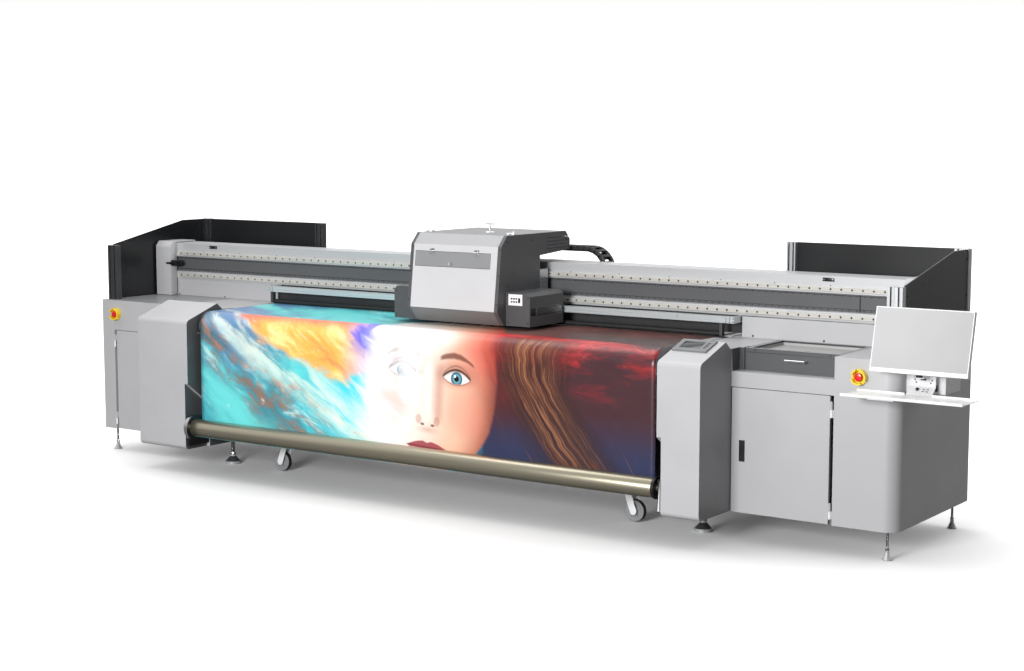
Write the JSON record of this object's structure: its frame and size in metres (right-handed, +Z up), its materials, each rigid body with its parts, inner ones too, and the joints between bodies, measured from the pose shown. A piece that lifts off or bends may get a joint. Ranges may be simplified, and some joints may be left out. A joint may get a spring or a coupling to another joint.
{
  "type": "roll-to-roll uv printer",
  "caption": "Wide-format roll-to-roll UV printer: beam, print carriage, media path, two cabinets, shields, take-up shaft and operator console.",
  "frame": {"origin": "on the floor, under the middle of the whole machine's bounding box", "axes": "+X along the beam, left to right as the operator sees it; +Y from the operator to the back; +Z up"},
  "size_m": [5.893, 1.3368, 1.56],
  "materials": {
    "frame_paint": "satin powder coat",
    "zinc_steel": "bright zinc plate",
    "fork_paint": "gloss",
    "wheel_rubber": "matt",
    "casing_paint": "fine-textured satin powder coat",
    "white_hinge": "satin",
    "black_plastic": "moulded",
    "yellow_plastic": "moulded",
    "red_plastic": "moulded",
    "panel_zinc": "zinc-plated sheet",
    "tank_plastic": "translucent polyethylene",
    "handle_chrome": "polished",
    "tray_grey": "satin",
    "anodised": "clear anodised",
    "blower_casting": "painted casting",
    "knurled_steel": "knurled",
    "black_rubber": "matt",
    "bar_aluminium": "satin anodised",
    "ground_steel": "ground and polished",
    "track_cover": "semi-gloss",
    "chain_nylon": "moulded nylon",
    "milled_aluminium": "milled",
    "charcoal_paint": "fine-textured satin powder coat",
    "pearl_paint": "satin",
    "flap_paint": "satin",
    "head_black": "moulded",
    "lamp_paint": "fine-textured satin powder coat",
    "champagne_steel": "brushed along the turn",
    "blank_media": "coated banner",
    "printed_media": "printed banner, semi-gloss",
    "smoked_acrylic": "smoked, glossy",
    "black_extrusion": "black anodised",
    "bezel_plastic": "grained",
    "monitor_plastic": "blank screen and light bezel",
    "white_paint": "satin"
  },
  "bodies": {
    "frame": {"base_frame": "frame_paint", "cross_frames": "frame_paint", "levelling_feet": "zinc_steel", "left_cabinet": "casing_paint", "right_cabinet": "casing_paint", "left_tower": "casing_paint", "right_tower": "casing_paint", "hinge_pins": "white_hinge", "estop_guards": "yellow_plastic", "electronics_panel": "panel_zinc", "ink_tanks": "tank_plastic", "platen": "anodised", "vacuum_blowers": "blower_casting", "media_guide_bar": "bar_aluminium", "gantry_beam": "anodised", "beam_end_blocks": "casing_paint", "linear_rails": "ground_steel", "magnet_track": "track_cover", "end_bumpers": "black_rubber", "cable_tray": "frame_paint", "shaft_chucks": "white_paint", "media_web": "printed_media", "shield_panels": "smoked_acrylic", "shield_posts": "black_extrusion", "touch_panel": "bezel_plastic", "console_arm": "white_paint", "keyboard_tray": "white_paint"},
    "caster_swivel_1": {"caster_fork_1": "fork_paint"},
    "caster_swivel_2": {"caster_fork_2": "fork_paint"},
    "caster_swivel_3": {"caster_fork_3": "fork_paint"},
    "caster_swivel_4": {"caster_fork_4": "fork_paint"},
    "caster_roll_1": {"caster_wheel_1": "wheel_rubber"},
    "caster_roll_2": {"caster_wheel_2": "wheel_rubber"},
    "caster_roll_3": {"caster_wheel_3": "wheel_rubber"},
    "caster_roll_4": {"caster_wheel_4": "wheel_rubber"},
    "door_left": {"left_door": "casing_paint"},
    "door_right": {"right_door": "casing_paint"},
    "latch_left": {"left_latch": "black_plastic"},
    "latch_right": {"right_latch": "black_plastic"},
    "stop_left": {"left_estop_button": "red_plastic"},
    "stop_right": {"right_estop_button": "red_plastic"},
    "drawer": {"maintenance_drawer": "tray_grey", "drawer_handle": "handle_chrome", "wash_tray": "tray_grey"},
    "feed": {"feed_roller": "knurled_steel"},
    "pinch": {"pinch_roller": "black_rubber"},
    "carriage": {"carriage_chassis": "milled_aluminium", "bearing_blocks": "ground_steel", "carriage_cover": "charcoal_paint", "carriage_front": "pearl_paint", "print_heads": "head_black", "uv_lamps": "lamp_paint", "cable_chain": "chain_nylon"},
    "flap": {"carriage_flap": "flap_paint"},
    "takeup": {"takeup_shaft": "champagne_steel", "takeup_collars": "zinc_steel"},
    "unwind": {"unwind_shaft": "zinc_steel", "media_roll": "blank_media"},
    "monitor_swivel_body": {"monitor_neck": "black_plastic"},
    "monitor_body": {"monitor": "monitor_plastic"}
  },
  "joints": [
    {"name": "caster_1_swivel", "type": "hinge", "parent": "frame", "child": "caster_swivel_1", "pos_m": [-1.4315, -0.2055, 0.186], "axis": [0, 0, 1], "continuous": true},
    {"name": "caster_1_wheel", "type": "hinge", "parent": "caster_swivel_1", "child": "caster_roll_1", "pos_m": [-1.4715, -0.2055, 0.063], "axis": [0, 1, 0], "continuous": true},
    {"name": "caster_2_swivel", "type": "hinge", "parent": "frame", "child": "caster_swivel_2", "pos_m": [1.0055, -0.2055, 0.186], "axis": [0, 0, 1], "continuous": true},
    {"name": "caster_2_wheel", "type": "hinge", "parent": "caster_swivel_2", "child": "caster_roll_2", "pos_m": [1.0455, -0.2055, 0.063], "axis": [0, 1, 0], "continuous": true},
    {"name": "caster_3_swivel", "type": "hinge", "parent": "frame", "child": "caster_swivel_3", "pos_m": [-1.4315, 0.5825, 0.186], "axis": [0, 0, 1], "continuous": true},
    {"name": "caster_3_wheel", "type": "hinge", "parent": "caster_swivel_3", "child": "caster_roll_3", "pos_m": [-1.4715, 0.5825, 0.063], "axis": [0, 1, 0], "continuous": true},
    {"name": "caster_4_swivel", "type": "hinge", "parent": "frame", "child": "caster_swivel_4", "pos_m": [1.0055, 0.5825, 0.186], "axis": [0, 0, 1], "continuous": true},
    {"name": "caster_4_wheel", "type": "hinge", "parent": "caster_swivel_4", "child": "caster_roll_4", "pos_m": [1.0455, 0.5825, 0.063], "axis": [0, 1, 0], "continuous": true},
    {"name": "carriage_travel", "type": "slide", "parent": "frame", "child": "carriage", "axis": [1, 0, 0], "range_m": [-2.15, 1.98]},
    {"name": "flap_lift", "type": "hinge", "parent": "carriage", "child": "flap", "pos_m": [-0.084, -0.30209, 1.408], "axis": [-1, 0, 0], "range_deg": [0, 100]},
    {"name": "drawer_pull", "type": "slide", "parent": "frame", "child": "drawer", "axis": [0, -1, 0], "range_m": [0, 0.3]},
    {"name": "left_door_swing", "type": "hinge", "parent": "frame", "child": "door_left", "pos_m": [-2.8305, -0.2965, 0.4], "axis": [0, 0, -1], "range_deg": [0, 105]},
    {"name": "right_door_swing", "type": "hinge", "parent": "frame", "child": "door_right", "pos_m": [2.2085, -0.2965, 0.4], "axis": [0, 0, 1], "range_deg": [0, 105]},
    {"name": "left_latch_pull", "type": "hinge", "parent": "door_left", "child": "latch_left", "pos_m": [-2.3495, -0.2825, 0.468], "axis": [0, 0, -1], "range_deg": [0, 30], "stiffness_Nm_per_rad": 0.05},
    {"name": "right_latch_pull", "type": "hinge", "parent": "door_right", "child": "latch_right", "pos_m": [1.7275, -0.2825, 0.468], "axis": [0, 0, 1], "range_deg": [0, 30], "stiffness_Nm_per_rad": 0.05},
    {"name": "left_stop_press", "type": "slide", "parent": "frame", "child": "stop_left", "axis": [0, 1, 0], "range_m": [0, 0.005], "stiffness_N_per_m": 1500},
    {"name": "right_stop_press", "type": "slide", "parent": "frame", "child": "stop_right", "axis": [0, 1, 0], "range_m": [0, 0.005], "stiffness_N_per_m": 1500},
    {"name": "feed_spin", "type": "hinge", "parent": "frame", "child": "feed", "pos_m": [-0.2245, 0.1345, 0.9427], "axis": [1, 0, 0], "continuous": true},
    {"name": "pinch_spin", "type": "hinge", "parent": "frame", "child": "pinch", "pos_m": [-0.2245, 0.1345, 1.0036], "axis": [1, 0, 0], "continuous": true},
    {"name": "takeup_spin", "type": "hinge", "parent": "frame", "child": "takeup", "pos_m": [-0.2245, -0.5895, 0.29], "axis": [1, 0, 0], "continuous": true},
    {"name": "unwind_spin", "type": "hinge", "parent": "frame", "child": "unwind", "pos_m": [-0.2245, 0.5485, 0.42], "axis": [1, 0, 0], "continuous": true},
    {"name": "monitor_turn", "type": "hinge", "parent": "frame", "child": "monitor_swivel_body", "pos_m": [2.6565, -0.2965, 0.93], "axis": [0, 0, 1], "range_deg": [-12, 30]},
    {"name": "monitor_tilt", "type": "hinge", "parent": "monitor_swivel_body", "child": "monitor_body", "pos_m": [2.6565, -0.3135, 1.1], "axis": [1, 0, 0], "range_deg": [-5, 12]}
  ],
  "couplings": [
    {"joint": "pinch_spin", "follows": "feed_spin", "ratio": -3.2143}
  ]
}
